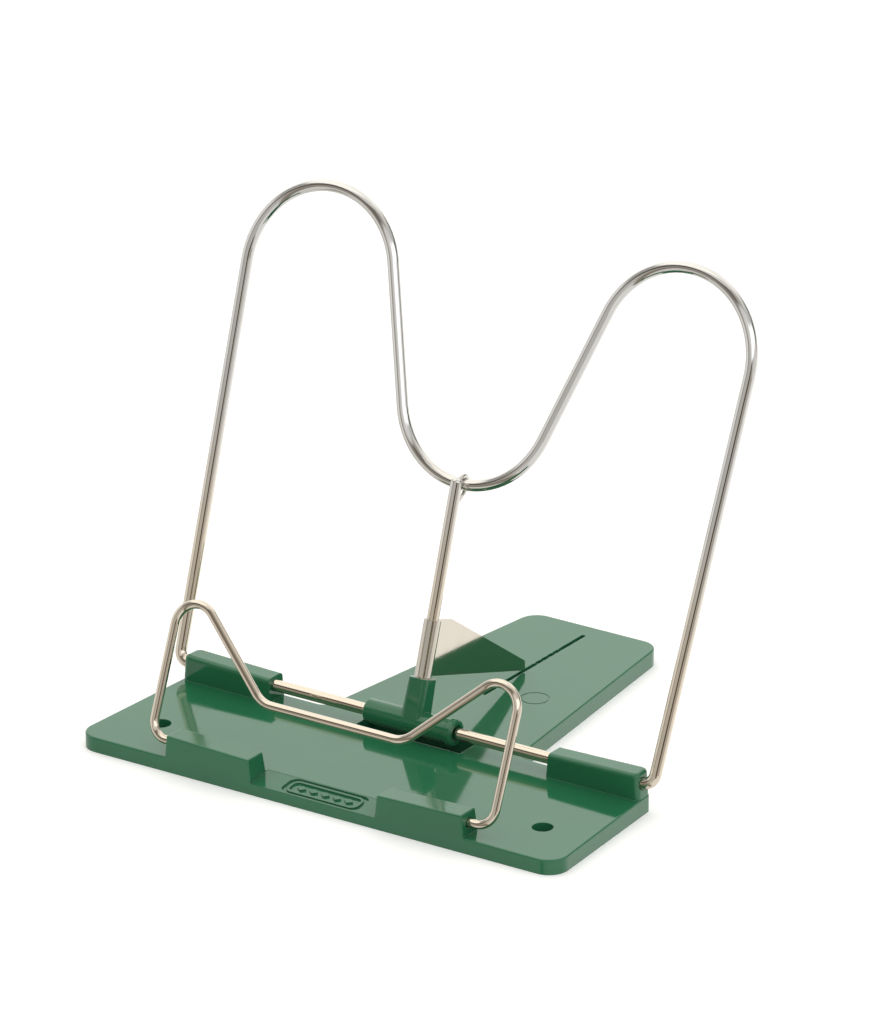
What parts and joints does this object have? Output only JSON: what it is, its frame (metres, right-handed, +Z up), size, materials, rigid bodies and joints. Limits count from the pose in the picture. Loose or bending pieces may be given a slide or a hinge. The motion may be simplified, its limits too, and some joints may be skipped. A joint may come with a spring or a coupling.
{
  "type": "book display stand",
  "caption": "Folding book display stand: T-shaped moulded base, leaning bent-wire back frame, hinged wire page retainer and a sheet-metal prop that swings on a centre post.",
  "frame": {"origin": "on the table, under the middle of the base's front edge", "axes": "+X to the reader's right along the front edge, +Y from the front edge back along the tail, +Z up"},
  "size_m": [0.2016, 0.169, 0.1686],
  "materials": {
    "moulding": "glossy as moulded",
    "plated_wire": "bright nickel plate",
    "plated_sheet": "bright nickel plate"
  },
  "bodies": {
    "base_body": {"base": "moulding", "hinge_rod": "plated_wire"},
    "frame_body": {"back_frame": "plated_wire", "centre_hinge": "moulding", "centre_post": "plated_wire"},
    "prop_body": {"prop_wing": "plated_sheet"},
    "retainer_body": {"front_retainer": "plated_wire"}
  },
  "joints": [
    {"name": "frame_fold", "type": "hinge", "parent": "base_body", "child": "frame_body", "pos_m": [0, 0.058, 0.0112], "axis": [1, 0, 0], "range_deg": [0, 80]},
    {"name": "prop_swing", "type": "hinge", "parent": "frame_body", "child": "prop_body", "pos_m": [0.001, 0.058, 0.0112], "axis": [0, 0.304, 0.9527], "range_deg": [-90, 90]},
    {"name": "retainer_fold", "type": "hinge", "parent": "base_body", "child": "retainer_body", "pos_m": [0, 0.0043, 0.0092], "axis": [1, 0, 0], "range_deg": [-66, 90]}
  ]
}
